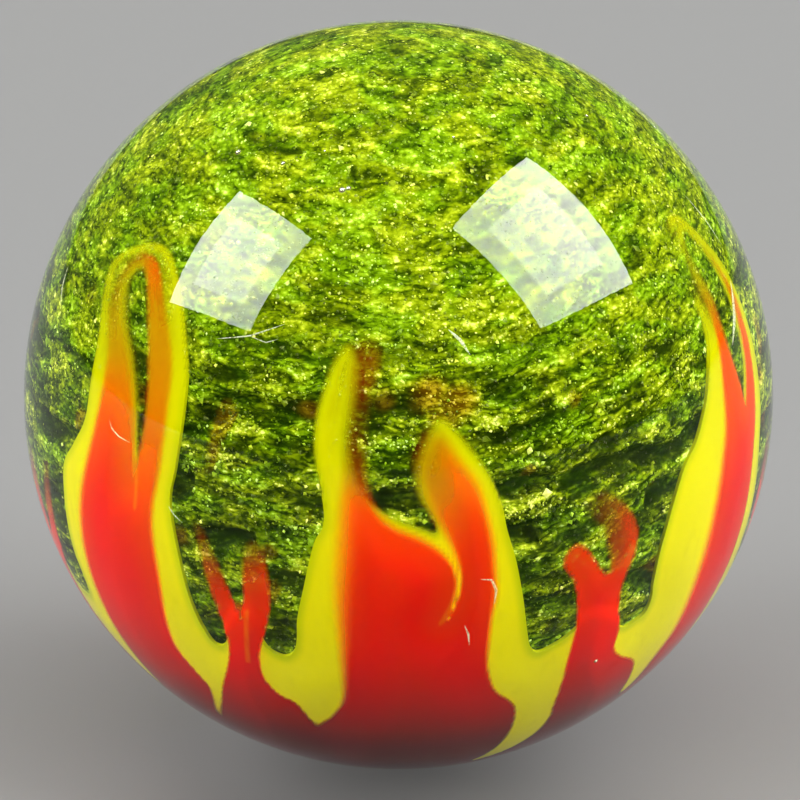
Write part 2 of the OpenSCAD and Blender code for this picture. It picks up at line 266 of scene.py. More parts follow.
# Heights in millimetres between which the gaps close towards the top, and the flakes are painted brighter, as
# painted light from above
GAPS_CLOSE = (3, 9)
FLAKES_PAINTED_LIT = (1, 12)
# Noise at which a shallow dip between flakes starts and is deepest, and its depth as a share of a main gap's
DIP_NOISE = (0.485, 0.41)
DIP_DEPTH = 0.35


def bed_level(points):
    """Height in the stack of beds, which sinks and rises with slow noise and climbs towards the right."""
    x, _, z = points.T
    climb = 0.022 * np.clip(x, 0, None) ** 2 - 0.06 * x
    return z - climb - 1.2 * noise(points / 6.0, 11) - 0.4 * noise(points / 2.0, 12)


def main_gaps(points):
    """How deep the core's main gaps are, from 0 to 1: a V across each ring, on a line that wavers with noise,
    and other noise closes it here and there."""
    waver = 1.1 * (fractal(points / 1.8, 41, 2) - 0.5)
    reach = np.linalg.norm(points, axis=1)
    deepest = np.zeros(len(points))
    for number, (turn_x, turn_y) in enumerate(np.radians(GAP_TILTS)):
        axis = [math.cos(turn_x) * math.sin(turn_y), -math.sin(turn_x), math.cos(turn_x) * math.cos(turn_y)]
        start = math.asin((LOWEST_GAP + number * BED_PITCH) / CORE_R)
        across = np.abs(CORE_R * (np.arcsin(np.clip(points @ axis / reach, -1, 1)) - start) + waver)
        is_open = smoothstep(0.4, 0.52, noise(points / 2.6, 43 + number))
        deepest = np.maximum(deepest, smoothstep(0, 0.75, 1 - across / (GAP_MOUTH / 2)) * is_open)
    return deepest


def spots(points, places):
    """The strongest of some soft ovals at each point: strength times e to the minus the fourth power of the
    distance from the middle, in half-widths along the latitude and half-heights along the longitude, whose
    edges waver with noise."""
    lon, lat = angles(points)
    waver = 0.7 + 0.6 * noise(points / 0.5, 71)
    most = np.zeros(len(points))
    for middle, height, wide, high, strength in places:
        across = np.radians((lon - middle + 180) % 360 - 180) * np.cos(np.radians(lat)) * CORE_R / wide
        up = np.radians(lat - height) * CORE_R / high
        most = np.maximum(most, strength * np.exp(-(across ** 2 + up ** 2) ** 2 * waver))
    return most


def core_facts(points):
    """For points on the core: how high the surface stands in its gaps, from 0 to 1, how bright the flakes are
    there, as a number with a mean of 0 and a spread of 1 before painted light raises it towards the top and
    painted glints raise it in bright clusters, how golden they are and how they gleam, from 0 to 1, and their
    height in the stack of beds."""
    level = bed_level(points)
    x, y, z = points.T
    beds = fractal(np.stack([x / 2.6, y / 2.6, level / 0.6], axis=1), 21, 4)
    clumps = fractal(points / 0.9, 31, 3)
    streaks = fractal(np.stack([x / 1.5, y / 1.5, level / 0.28], axis=1), 61, 3)
    top = smoothstep(*GAPS_CLOSE, z)
    full = 0.66 * beds + 0.34 * clumps + 0.01 + 0.07 * top
    dips = DIP_DEPTH * smoothstep(*DIP_NOISE, full)
    height = 1 - np.maximum(dips, main_gaps(points) * (1 - 0.85 * top))
    # Flakes low in the gaps are darker: partly the dark green glass there, partly painted shade
    bright = evened(1.1 * height + 1.5 * (clumps - 0.5) + 3.4 * (streaks - 0.5) + 2.2 * (beds - 0.5))
    gleam = spots(points, GLEAMS)
    # Painted light: the flakes are painted brighter towards the top, and the gleam spots add painted glints
    bright = bright * (1 - 0.4 * top) + 0.55 * smoothstep(*FLAKES_PAINTED_LIT, z) + 0.05 + 0.9 * gleam
    gold = 0.7 * smoothstep(0.74, 0.8, fractal(points / 2.0, 51, 2)) * (1 - top)
    gold = np.maximum(gold, spots(points, AMBER))
    return height, bright, gold, gleam, level


# Flames


def rounded(outline, steps=8):
    """A closed Catmull-Rom curve: each stretch is the cubic that passes a point in the direction of the line
    between its two neighbours."""
    b = np.asarray(outline, float)
    a, c, d = np.roll(b, 1, 0), np.roll(b, -1, 0), np.roll(b, -2, 0)
    t = (np.arange(steps) / steps)[:, None, None]
    bend = 2 * a - 5 * b + 4 * c - d
    twist = 3 * b - a - 3 * c + d
    curve = (2 * b + (c - a) * t + bend * t ** 2 + twist * t ** 3) / 2
    curve = curve.transpose(1, 0, 2).reshape(-1, b.shape[1])
    curve[:, 2] = np.clip(curve[:, 2], 0.03, None)
    curve[:, 3] = np.clip(curve[:, 3], 0, 1)
    return curve


def outline_field(lon, lat, outline, radius):
    """For points near one outline: distance to its edge in millimetres, positive inside, with the fade and
    the clearness of the edge points near by, each weighted by one over its distance to the fourth."""
    curve = rounded(outline)
    edge = on_ball(curve[:, 0], curve[:, 1], radius)
    square = ((on_ball(lon, lat, radius)[:, None] - edge[None]) ** 2).sum(2)
    weight = 1 / (square + 0.01) ** 2
    weight /= weight.sum(1, keepdims=True)
    x0, y0 = curve[:, 0], curve[:, 1]
    x1, y1 = np.roll(x0, -1), np.roll(y0, -1)
    crossing = (y0 > lat[:, None]) != (y1 > lat[:, None])
    rise = np.where(y1 == y0, 1, y1 - y0)
    left = lon[:, None] < x0 + (lat[:, None] - y0) * (x1 - x0) / rise
    inside = (crossing & left).sum(1) % 2 == 1
    distance = line_distance(lon, lat, np.stack([x0, y0, x1, y1], 1), radius) * np.where(inside, 1, -1)
    return distance, weight @ curve[:, 2], weight @ curve[:, 3]


def line_distance(lon, lat, stretches, radius):
    """Distance in millimetres from points to the nearest of some straight stretches between two places: the
    foot of the perpendicular is kept between the stretch's ends."""
    start = on_ball(stretches[:, 0], stretches[:, 1], radius)
    along = on_ball(stretches[:, 2], stretches[:, 3], radius) - start
    away = on_ball(lon, lat, radius)[:, None] - start[None]
    foot = np.clip((away * along).sum(2) / np.maximum((along ** 2).sum(1), 1e-9), 0, 1)
    return np.sqrt(((away - foot[..., None] * along) ** 2).sum(2).min(1))


# Farthest distance from an edge that counts, in millimetres, and how sharply the flames' valleys turn
REACH = 3.0
BLEND = 5.0
# Half-width of the widest flame and the latitudes between which every flame lies, in degrees
FLAME_HALF = 36
FLAME_FOOT, FLAME_TOP = -72, 44


def flame_field(lon, lat, layer, radius):
    """Distance inside the nearest edge of a layer of all the flames, fade and clearness, for any points.
    The flames and the skirt below a latitude are joined by the logarithm of a sum of powers, which rounds the
    valleys between them. Layer 0 is the yellow and 1 the red."""
    start = (SKIRT_LAT, CAP_LAT)[layer]
    below = np.clip(np.radians(start - lat) * radius, -REACH, REACH)
    power = np.exp(BLEND * below)
    fade = power * 0.06
    clear = np.zeros(len(lon))
    for kind, middle, way in FLAMES:
        away = (lon - middle + 180) % 360 - 180
        near = np.flatnonzero((np.abs(away) < FLAME_HALF) & (lat < FLAME_TOP) & (lat > FLAME_FOOT))
        if len(near) == 0:
            continue
        shape, gap = KINDS[kind][layer], KINDS[kind][2]
        inside, soft, pale = outline_field(away[near] * way, lat[near], shape, radius)
        if gap is not None:
            hole, hole_soft, _ = outline_field(away[near] * way, lat[near], gap, radius)
            use_hole = -hole < inside
            inside = np.where(use_hole, -hole, inside)
            soft = np.where(use_hole, hole_soft, soft)
        share = np.exp(BLEND * np.clip(inside, -REACH, REACH))
        power[near] += share
        fade[near] += share * soft
        clear[near] += share * pale
    return np.log(power) / BLEND, fade / power, clear / power


# Fades in millimetres between which an edge turns from crisp to soft
CRISP = (0.08, 0.2)


def flame_cover(layer, distance, fade, clear):
    """How much of what lies below a flame it hides, from 0 to 1: it grows across the fade, as 1 less the
    square of 1 less a smooth step, a crisp edge hides all at once, and clear yellow keeps a line of colour
    along the edge unless it is all clear."""
    grown = 1 - (1 - smoothstep(0.08, 1, (distance + fade / 2) / fade)) ** 2
    grown = np.maximum(grown, 1 - smoothstep(*CRISP, fade))
    share = 1
    if layer == 0:
        share = np.maximum(0.3 + 0.7 * smoothstep(0.1, 0.6, distance), smoothstep(0.85, 1, clear))
    return np.where(distance + fade / 2 > -1e-6, grown, 0) * (1 - clear * share)


# For each layer, the latitude where its fine rows start and their step, in degrees, with the step of the
# coarse rows below them and the latitude that no flame reaches
FLAME_ROWS = ((-31, 0.53), (-67.5, 0.69))
COARSE = 4
TOP_LAT = 42
# Latitudes between which the yellow turns greener and the red turns orange towards the tips, and the red is
# painted darker towards the foot, as painted shade
YELLOW_TURNS = (-15, 22)
RED_TURNS = (-7, 12)
RED_SHADE_LATS = (-20, -52)
FLAME_GRIDS = {}


def flame_grid(layer, radius):
    """A layer's rows of latitude, columns of longitude, grid and fields, worked out once for each layer."""
    if layer not in FLAME_GRIDS:
        start, step = FLAME_ROWS[layer]
        latitudes = np.concatenate([np.arange(-86, start - 1, COARSE), np.arange(start, TOP_LAT, step)])
        columns = int(360 / step)
        lon, lat, faces = ball_grid(latitudes, columns)
        FLAME_GRIDS[layer] = latitudes, columns, lon, lat, faces, flame_field(lon, lat, layer, radius)
    return FLAME_GRIDS[layer]


def cover_at(lon, lat, radii):
    """How much the flames hide at any places, read from the nearest point of each layer's grid."""
    cover = np.zeros(len(lon))
    for layer in (0, 1):
        latitudes, columns, _, _, _, field = flame_grid(layer, radii[layer])
        row = np.clip(np.searchsorted(latitudes, lat), 0, len(latitudes) - 1)
        column = np.round((lon + 180) * columns / 360).astype(int) % columns
        hidden = flame_cover(layer, *field)[1 + row * columns + column]
        cover = np.maximum(cover, np.where(lat < TOP_LAT, hidden, 0))
    return cover


def flame_sheet(layer, radius):
    """The triangles that a flame layer covers, with the places and facts of their corners. A corner outside
    the layer's edge is moved onto it: by its distance, down the field's slope, which is worked out from the
    neighbours on the grid. Light crosses two sheets of each flame, so each hides its share of the cover."""
    latitudes, columns, lon, lat, faces, (distance, fade, clear) = flame_grid(layer, radius)
    room = distance + fade / 2
    rows = room[1:-1].reshape(len(latitudes), columns)
    width = 2 * np.radians(360 / columns) * radius * np.cos(np.radians(latitudes))[:, None]
    east = np.zeros(len(room))
    east[1:-1] = ((np.roll(rows, -1, 1) - np.roll(rows, 1, 1)) / width).ravel()
    north = np.zeros(len(room))
    north[1:-1] = np.gradient(rows, np.radians(latitudes) * radius, axis=0).ravel()
    slope = np.maximum(east ** 2 + north ** 2, 0.3)
    most = 1.3 * np.radians(360 / columns) * radius
    move = np.where(room < 0, np.clip(-room, 0, most) / slope, 0)
    lon = lon + np.degrees(move * east / (radius * np.cos(np.radians(lat)).clip(0.05)))
    lat = lat + np.degrees(move * north / radius)
    settled = np.where(room < 0, -fade / 2, distance)
    cover = 1 - np.sqrt(1 - flame_cover(layer, settled, fade, clear))
    return kept_part(faces, room > 0, lon, lat, settled, cover, clear)


def yellow_top(edge, sizes):
    """Radius of the yellow glass's outer side: a step at its outline, then a gentle rise to full height."""
    return sizes.core_r + (sizes.yellow_r - sizes.core_r) * (0.55 + 0.45 * smoothstep(0, 2.5, edge))


def closest_thread(lon, lat, radius):
    """Distance in millimetres to the nearest orange thread."""
    stretches = np.array([a + b for thread in THREADS for a, b in zip(thread, thread[1:])])
    distance = np.full(len(lon), REACH)
    near = np.flatnonzero((np.abs(lon) < 60) & (lat > -40))
    distance[near] = line_distance(lon[near], lat[near], stretches, radius)
    return distance


# Meshes


def ball_grid(latitudes, columns):
    """Longitudes, latitudes and triangles of a ball's grid: one point at each pole, and rows of points
    between them at the given latitudes."""
    lon = np.tile(np.arange(columns) * 360 / columns - 180, len(latitudes))
    lat = np.repeat(latitudes, columns)
    lon = np.concatenate([[0], lon, [0]])
    lat = np.concatenate([[-90], lat, [90]])
    column = np.arange(columns)
    after = (column + 1) % columns
    rows = 1 + columns * np.arange(len(latitudes) - 1)[:, None]
    a, b = rows + column, rows + after
    c, d = b + columns, a + columns
    last = 1 + columns * (len(latitudes) - 1)
    faces = [
        np.stack([np.zeros_like(column), 1 + after, 1 + column], 1),
        np.stack([a, b, c], 2).reshape(-1, 3),
        np.stack([a, c, d], 2).reshape(-1, 3),
        np.stack([last + column, last + after, np.full_like(column, len(lon) - 1)], 1),
    ]
    return lon, lat, np.concatenate(faces)


def kept_part(faces, keep, *arrays):
    """The faces with at least one kept corner, renumbered, and the arrays of the corners that they use."""
    faces = faces[keep[faces].any(1)]
    used = np.unique(faces)
    number = np.zeros(len(keep), np.int64)
    number[used] = np.arange(len(used))
    return (number[faces],) + tuple(a[used] for a in arrays)


def closed_sheet(outer, inner, faces):
    """A shell between two sheets with the same faces: the inner sheet is turned over, and each edge that only
    one face has becomes a wall of two triangles, with a sharp edge on either side."""
    count = len(outer)
    edges = np.concatenate([faces[:, [0, 1]], faces[:, [1, 2]], faces[:, [2, 0]]])
    low_high = np.sort(edges, axis=1)
    _, first, uses = np.unique(low_high[:, 0] * count + low_high[:, 1], return_index=True, return_counts=True)
    rim = edges[first[uses == 1]]
    a, b = rim.T
    walls = np.concatenate([np.stack([b, a, a + count], 1), np.stack([b, a + count, b + count], 1)])
    sharp = np.concatenate([rim, rim + count])
    return np.concatenate([outer, inner]), np.concatenate([faces, faces[:, ::-1] + count, walls]), sharp


def ribbons(strips, radius, thick):
    """Flat ribbons under the surface: each follows a line of places, and its cross-section is an ellipse of
    the strip's width, which shrinks to nothing at both ends as the sine of the way along, by a thickness."""
    steps, sides = 24, 8
    round_it = np.arange(sides) * 2 * np.pi / sides
    points, faces = [], []
    for number, (width, places) in enumerate(strips):
        places = np.array(places, float)
        way = np.linspace(0, len(places) - 1, steps)
        lon, lat = (np.interp(way, np.arange(len(places)), places[:, k]) for k in (0, 1))
        line = on_ball(lon, lat, radius)
        along = np.gradient(line, axis=0)
        up = line / radius
        side = np.cross(along, up)
        side /= np.linalg.norm(side, axis=1, keepdims=True)
        swell = np.sin(np.pi * np.linspace(0.02, 0.98, steps))[:, None, None]
        ring = (np.cos(round_it)[None, :, None] * side[:, None] * width / 2
                + np.sin(round_it)[None, :, None] * up[:, None] * thick)
        points.append((line[:, None] + ring * swell).reshape(-1, 3))
        points.append(line[[0, -1]])
        first = number * (steps * sides + 2)
        k = np.arange(sides)
        n = (k + 1) % sides
        for row in range(steps - 1):
            low = first + row * sides
            faces.append(np.stack([low + k, low + n, low + sides + n], 1))
            faces.append(np.stack([low + k, low + sides + n, low + sides + k], 1))
        faces.append(np.stack([np.full_like(k, first + steps * sides), first + n, first + k], 1))
        last = first + (steps - 1) * sides
        faces.append(np.stack([np.full_like(k, first + steps * sides + 1), last + k, last + n], 1))
    return np.concatenate(points), np.concatenate(faces)


def add_piece(name, points, faces, finish, slot, stands_for=(), smooth=True, sharp=None, **facts):
    """A mesh object from whole arrays, with points in millimetres and one number per point for each fact.
    Sharp is a list of pairs of points whose edges are to be sharp."""
    mesh = bpy.data.meshes.new(name)
    mesh.vertices.add(len(points))
    mesh.vertices.foreach_set("co", (np.asarray(points) * MM).astype(np.float32).ravel())
    mesh.loops.add(faces.size)
    mesh.loops.foreach_set("vertex_index", faces.astype(np.int32).ravel())
    mesh.polygons.add(len(faces))
    mesh.polygons.foreach_set("loop_start", np.arange(0, faces.size, 3, dtype=np.int32))
    mesh.polygons.foreach_set("use_smooth", np.full(len(faces), smooth))
    mesh.update(calc_edges=True)
    for fact, values in facts.items():
        layer = mesh.attributes.new(fact, "FLOAT", "POINT")
        layer.data.foreach_set("value", np.asarray(values, np.float32))
    if sharp is not None:
        edges = np.empty(len(mesh.edges) * 2, np.int32)
        mesh.edges.foreach_get("vertices", edges)
        low_high = np.sort(edges.reshape(-1, 2).astype(np.int64), axis=1)
        sharp = np.sort(sharp, axis=1)
        is_sharp = np.isin(low_high @ (len(points), 1), sharp @ (len(points), 1))
        layer = mesh.attributes.new("sharp_edge", "BOOLEAN", "EDGE")
        layer.data.foreach_set("value", is_sharp)
    piece = bpy.data.objects.new(name, mesh)
    bpy.context.scene.collection.objects.link(piece)
    mesh.materials.append(finish)
    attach(piece, BODY)
    if stands_for:
        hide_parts(*stands_for)
    return piece


# Shader sums


class Sum:
    """A number that a shader node gives out. Written sums on it add Math nodes."""

    def __init__(self, tree, socket):
        self.tree = tree
        self.socket = socket

    def math(self, operation, *terms):
        node = self.tree.nodes.new("ShaderNodeMath")
        node.operation = operation
        for place, term in zip(node.inputs, terms):
            join(self.tree, place, term)
        return Sum(self.tree, node.outputs[0])

    def __add__(self, other):
        return self.math("ADD", self, other)

    def __sub__(self, other):
        return self.math("SUBTRACT", self, other)

    def __rsub__(self, other):
        return self.math("SUBTRACT", other, self)

    def __mul__(self, other):
        return self.math("MULTIPLY", self, other)

    def __truediv__(self, other):
        return self.math("DIVIDE", self, other)

    def larger(self, other):
        return self.math("MAXIMUM", self, other)

    def step(self, low, high):
        """0 below low and 1 above high, with smooth ends."""
        node = self.tree.nodes.new("ShaderNodeMapRange")
        node.interpolation_type = "SMOOTHSTEP"
        for place, term in (("Value", self), ("From Min", low), ("From Max", high)):
            join(self.tree, node.inputs[place], term)
        return Sum(self.tree, node.outputs["Result"])

    __radd__ = __add__
    __rmul__ = __mul__


def join(tree, place, term):
    """Links a node's output to an input, or sets a plain value there."""
    if isinstance(term, Sum):
        tree.links.new(term.socket, place)
    else:
        place.default_value = term


class Finish:
    """A material made of nodes, with one Principled shader."""

    def __init__(self, name, **plain):
        self.material = bpy.data.materials.new(name)
        self.material.use_nodes = True
        self.tree = self.material.node_tree
        self.shader = self.tree.nodes["Principled BSDF"]
        self.output = self.tree.nodes["Material Output"]
        for socket, value in plain.items():
            self.shader.inputs[socket.replace("_", " ")].default_value = value

    def node(self, kind, settings=None, sockets=None, out=0):
        """Any other node: its settings are set first, then its sockets are set or linked."""
        node = self.tree.nodes.new("ShaderNode" + kind)
        for setting, value in (settings or {}).items():
            if setting == "stops":
                ends = node.color_ramp.elements
                for place, colour in value[1:-1]:
                    ends.new(place).color = (*colour, 1)
                for end, (place, colour) in ((ends[0], value[0]), (ends[-1], value[-1])):
                    end.position = place
                    end.color = (*colour, 1)
            else:
                setattr(node, setting, value)
        for socket, value in (sockets or {}).items():
            join(self.tree, node.inputs[socket], value)
        return Sum(self.tree, node.outputs[out])

    def fact(self, name):
        """A number stored on the piece's points."""
        return self.node("Attribute", {"attribute_name": name}, out="Fac")

    def place(self, scale=(1, 1, 1)):
        """Object coordinates in millimetres, stretched by a scale along each axis."""
        spot = self.node("TexCoord", out="Object")
        return self.node("Mapping", {}, {"Vector": spot, "Scale": tuple(1 / MM * s for s in scale)})

    def grain(self, size, detail=2.0, scale=(1, 1, 1)):
        """Noise between 0 and 1 whose waves are about size millimetres long."""
        return self.node("TexNoise", {}, {"Vector": self.place(scale), "Scale": 1 / size, "Detail": detail})

    def cells(self, size, scale=(1, 1, 1), warp=0.0):
        """Cells about size millimetres wide, whose walls noise bends by up to warp millimetres: a random
        number between 0 and 1 for each, and the distance from its middle, in cells."""
        spot = self.place(scale)
        drift = self.node("TexNoise", {}, {"Vector": spot, "Scale": 2 / size, "Detail": 1.0}, out="Color")
        bent = self.node("VectorMath", {"operation": "MULTIPLY_ADD"}, {0: drift, 1: (2 * warp,) * 3, 2: spot})
        colour = self.node("TexVoronoi", {"feature": "F1"}, {"Vector": bent, "Scale": 1 / size}, out="Color")
        number = self.node("SeparateColor", {}, {"Color": colour}, out="Red")
        return number, Sum(self.tree, colour.socket.node.outputs["Distance"])

    def strands(self, along, across, detail=2.0):
        """Noise between 0 and 1 in wavy strands, in millimetres along the beds and across them."""
        spot = self.place()
        x, y = (self.node("SeparateXYZ", {}, {"Vector": spot}, out=axis) / along for axis in ("X", "Y"))
        height = self.fact("level") + self.grain(1.1, 1.0) * 0.9
        bent = self.node("CombineXYZ", {}, {"X": x, "Y": y, "Z": height / across})
        return self.node("TexNoise", {}, {"Vector": bent, "Scale": 1.0, "Detail": detail})

    def rays(self, first, *others):
        """1 for a ray of any of the given kinds, and 0 for any other."""
        seen = self.node("LightPath", out="Is %s Ray" % first)
        for kind in others:
            seen = seen.larger(self.node("LightPath", out="Is %s Ray" % kind))
        return seen

    def let_through(self, *kinds):
        """Rays of the given kinds pass straight through, as if nothing were there."""
        through = self.node("BsdfTransparent")
        shader = Sum(self.tree, self.shader.outputs[0])
        mixed = self.node("MixShader", {}, {0: self.rays(*kinds), 1: shader, 2: through})
        join(self.tree, self.output.inputs["Surface"], mixed)

    def blend(self, share, first, second):
        """The first colour, turning to the second as share goes from 0 to 1."""
        node = self.tree.nodes.new("ShaderNodeMix")
        node.data_type = "RGBA"
        join(self.tree, node.inputs["Factor"], share)
        for place, colour in (("A", first), ("B", second)):
            socket = next(s for s in node.inputs if s.name == place and s.type == "RGBA")
            join(self.tree, socket, colour if isinstance(colour, Sum) else (*colour, 1))
        return Sum(self.tree, next(s for s in node.outputs if s.type == "RGBA"))

    def feed(self, socket, value):
        join(self.tree, self.shader.inputs[socket], value)


def clear_glass():
    """Glass that lamps and scattered light pass straight through, so that they reach what is inside it."""
    finish = Finish("clear_glass", Base_Color=(1, 1, 1, 1), Roughness=0.0, IOR=1.5, Transmission_Weight=1.0,
                    Specular_Tint=(0.3, 0.3, 0.29, 1))
    finish.let_through("Shadow", "Diffuse")
    return finish.material


# Brightness of the flakes, as a number with a mean of 0 and a spread of 1, at which each green is reached;
# the palest two paint glints
GREEN_STEPS = (-2.05, -1.04, -0.39, 0.25, 0.84, 1.48, 2.05, 2.6)


def green_ramp(finish, colours, bright):
    """The greens from the darkest gap to the palest painted glint, by brightness from -4 to 4."""
    greens = (colours.gap_green, colours.deep_green, colours.dark_green, colours.green, colours.lime,
              colours.light_lime, colours.pale_lime, colours.glint)
    stops = [(0.5 + step / 8, tuple(green)) for step, green in zip(GREEN_STEPS, greens)]
    return finish.node("ValToRGB", {"stops": stops}, {"Fac": bright * 0.125 + 0.5})


def greened(finish, base):
    """The same colour, turned from yellow to green in slow drifts."""
    drift = finish.grain(1.3, 2.0, (0.6, 0.6, 1.2)).step(0.42, 0.62)
    return finish.node("Mix", {"data_type": "RGBA", "blend_type": "MULTIPLY"},
                       {"Factor": drift * 0.6, 6: base, 7: (0.6, 1.0, 1.0, 1)}, out=2)


def green_core_glass(colours):
    """Green glass packed with fine flakes, in strands along the beds. Where it is bright it breaks up into
    grains, with painted glints in clusters; where it is dark it stays smoother. Towards the top it is painted
    lighter, as painted light."""
    finish = Finish("green_sparkle_glass", Roughness=0.6, Specular_IOR_Level=0.0)
    bright = finish.fact("bright")
    gleam = finish.fact("gleam")
    top = finish.node("SeparateXYZ", {}, {"Vector": finish.place()}, out="Z").step(3.0, 10.0)
    lively = (bright.step(-1.5, 0.6) * 0.6 + 0.4) * (1 - top * 0.25)
    strand = (finish.strands(0.8, 0.2, 3.0) - 0.5) * 7.5
    cloud = (finish.grain(0.3, 2.0, (0.8, 0.8, 1.3)) - 0.5) * 3.5
    grain_number, grain_far = finish.cells(0.2, (0.8, 0.8, 1.1), 0.05)
    grains = (grain_number - 0.5) * 1.3 - grain_far.step(0.25, 0.8) * 0.8
    # Painted glints: tiny cells in the clusters are painted pale
    spark_number, spark_far = finish.cells(0.13, (0.9, 0.9, 1.2), 0.02)
    cluster = finish.strands(1.2, 0.3, 2.0).step(0.48, 0.62).larger(gleam)
    painted_glint_spots = spark_number.step(0.72, 0.78) * (1 - spark_far.step(0.2, 0.5)) * cluster * 2.6
    # top * 0.15 is painted light, brighter towards the top
    light = bright * 0.7 + (strand + cloud + grains + painted_glint_spots) * lively + top * 0.15 + 0.08
    base = greened(finish, green_ramp(finish, colours, light))
    tan = finish.blend((light - bright * 0.7).step(-0.8, 1.6), colours.brown, colours.gold)
    finish.feed("Base Color", finish.blend(finish.fact("gold") * 0.85, base, tan))
    return finish.material


def grain_glass(name, colours, rough):
    """Grains, each of its own green, whose facets glint; the palest are painted glints."""
    finish = Finish(name, Roughness=rough, Specular_IOR_Level=0.25, Specular_Tint=(1.0, 1.0, 0.3, 1))
    base = greened(finish, green_ramp(finish, colours, finish.fact("bright")))
    tan = finish.blend(finish.fact("bright").step(0.0, 2.2), colours.brown, colours.gold)
    finish.feed("Base Color", finish.blend(finish.fact("gold") * 0.85, base, tan))
    return finish.material


def yellow_glass(colours):
    """Opaque yellow, greener at the outline and up the tips, with faint streaks that run up the flame. Lamps
    shine through it, so that thin glass doesn't darken what lies under it."""
    finish = Finish("yellow_glass", Roughness=0.5, Specular_IOR_Level=0.0)
    rim = finish.fact("edge").step(-0.05, 0.5)
    body = finish.blend(rim, colours.yellow_rim, colours.yellow)
    body = finish.blend(finish.fact("rise") * 0.7, body, colours.yellow_tip)
    streak = finish.grain(0.5, 2.0, (1, 1, 0.12)).step(0.52, 0.75) * 0.12
    finish.feed("Base Color", finish.blend(streak, body, colours.yellow_dim))
    finish.feed("Alpha", finish.fact("cover"))
    finish.let_through("Shadow")
    return finish.material


def red_glass(colours):
    """Opaque red, more orange near its edges and up the tips, and painted darker round the foot as painted
    shade, with orange threads where two reds meet. Lamps shine through it, as through the yellow."""
    finish = Finish("red_glass", Roughness=0.5, Specular_IOR_Level=0.0)
    mottle = finish.grain(0.4, 2.0).step(0.3, 0.7) * 0.2
    body = finish.blend(mottle, colours.red, colours.red_dim)
    body = finish.blend(finish.fact("warm"), body, colours.hot_red)
    body = finish.blend(finish.fact("clear").step(0.02, 0.6), body, colours.ember)
    # deep paints the red darker towards the foot: painted shade
    body = finish.blend(finish.fact("deep"), body, colours.painted_shade_red)
    thread = 1 - finish.fact("thread").step(0.03, 0.2)
    finish.feed("Base Color", finish.blend(thread * 0.5, body, colours.orange))
    finish.feed("Alpha", finish.fact("cover"))
    finish.let_through("Shadow")
    return finish.material


def bubble_glass():
    """Tiny bubbles, which show as bright beads."""
    finish = Finish("bubble_glass", Roughness=0.12, Metallic=0.9)
    specks = finish.grain(0.05, 1.0).step(0.3, 0.7)
    finish.feed("Base Color", finish.blend(specks, (0.8, 0.85, 0.6), (0.95, 0.97, 0.85)))
    return finish.material


def scar_and_reflection_glass():
    """Pale crushed glass along a bruise, which lets much of the colour below through. Near the sides the same
    pale glass paints reflections.
    """
    finish = Finish("scar_and_reflection_glass", Roughness=0.4, Specular_IOR_Level=0.1)
    broken = finish.grain(0.12, 2.0).step(0.3, 0.6)
    finish.feed("Base Color", finish.blend(broken, (0.75, 0.8, 0.4), (0.95, 1.0, 0.65)))
    finish.feed("Alpha", broken * 0.3 + 0.2)
    return finish.material


# Sizes and colours that a user may change


def colour_prop(name, text, value):
    return bpy.props.FloatVectorProperty(name=name, description=text, subtype="COLOR", size=3, min=0, max=1,
                                         default=value)


def length_prop(name, text, value):
    return bpy.props.FloatProperty(name=name, description=text, default=value, min=0)


class MarbleSizes(bpy.types.PropertyGroup):
    """Sizes of the layers, in millimetres."""

    ball_r: length_prop("Ball radius", "Radius of the finished ball, in millimetres", BALL_R)
    red_r: length_prop("Red radius", "Radius of the outside of the red glass", RED_R)
    yellow_r: length_prop("Yellow radius", "Radius of the outside of the yellow glass", YELLOW_R)
    core_r: length_prop("Core radius", "Radius of the green core's highest beds", CORE_R)
    gap_depth: length_prop("Gap depth", "Depth of the dark gaps between the beds of flakes", 0.9)
    grain_size: length_prop("Grain size", "Radius of a middling grain", 0.07)


class MarbleColours(bpy.types.PropertyGroup):
    """Colours of the glass."""

    # The darkest greens, down in the gaps, are partly painted shade
    gap_green: colour_prop("Gap green", "Deepest gaps of the core", (0.012, 0.026, 0.0002))
    deep_green: colour_prop("Deep green", "Low flakes of the core", (0.026, 0.052, 0.0004))
    dark_green: colour_prop("Dark green", "Dim flakes", (0.066, 0.112, 0.0006))
    green: colour_prop("Green", "Middling flakes", (0.146, 0.218, 0.001))
    lime: colour_prop("Lime", "Bright flakes", (0.246, 0.343, 0.002))
    light_lime: colour_prop("Light lime", "Brighter flakes", (0.4, 0.51, 0.008))
    # Painted highlights: these two paint the glints of the flakes
    pale_lime: colour_prop("Pale lime", "Sparks", (0.66, 0.77, 0.03))
    glint: colour_prop("Glint", "Palest sparks", (0.96, 1.0, 0.2))
    brown: colour_prop("Brown", "Dim flakes of the golden patches", (0.12, 0.05, 0.0))
    gold: colour_prop("Gold", "Bright flakes of the golden patches", (0.6, 0.4, 0.01))
    yellow: colour_prop("Yellow", "Body of the yellow glass", (0.88, 0.81, 0.0))
    yellow_rim: colour_prop("Yellow rim", "Outline of the yellow glass", (0.6, 0.66, 0.0))
    yellow_tip: colour_prop("Yellow tip", "Yellow glass up the tips", (0.5, 0.52, 0.0))
    yellow_dim: colour_prop("Yellow streak", "Faint streaks in the yellow glass", (0.55, 0.5, 0.0))
    red: colour_prop("Red", "Body of the red glass", (0.84, 0.002, 0.0))
    red_dim: colour_prop("Red mottle", "Mottling of the red glass", (0.74, 0.0, 0.0))
    hot_red: colour_prop("Hot red", "Red glass near its edges and up the tips", (0.82, 0.07, 0.0))
    ember: colour_prop("Ember", "Thin red glass at the tips", (0.42, 0.06, 0.0))
    # Painted shade: the colour that the red is painted towards the foot
    painted_shade_red: colour_prop("Deep red", "Thick red glass round the foot", (0.13, 0.0, 0.0))
    orange: colour_prop("Orange", "Threads in the red glass", (0.85, 0.2, 0.0))


# Operators


